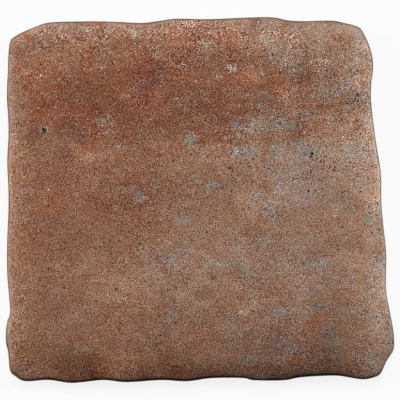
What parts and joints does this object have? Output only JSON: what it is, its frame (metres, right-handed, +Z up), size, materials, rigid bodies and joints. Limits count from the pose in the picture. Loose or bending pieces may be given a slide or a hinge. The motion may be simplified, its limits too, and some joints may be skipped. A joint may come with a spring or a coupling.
{
  "type": "porcelain floor tile",
  "caption": "Square rustic porcelain floor tile with a hand-worn wavy rim, a face that rolls down to the side wall, and a shallow pocketed back.",
  "frame": {"origin": "under the middle of the tile's box, on the plane of the ribs it rests on", "axes": "+X along the longer side of the face, +Z up out of the face; the rim that is shorter by the taper faces +Y"},
  "size_m": [0.223, 0.21, 0.01],
  "materials": {
    "porcelain": "matt, sandy, mottled red-brown"
  },
  "bodies": {
    "root": {"tile": "porcelain"}
  },
  "joints": []
}
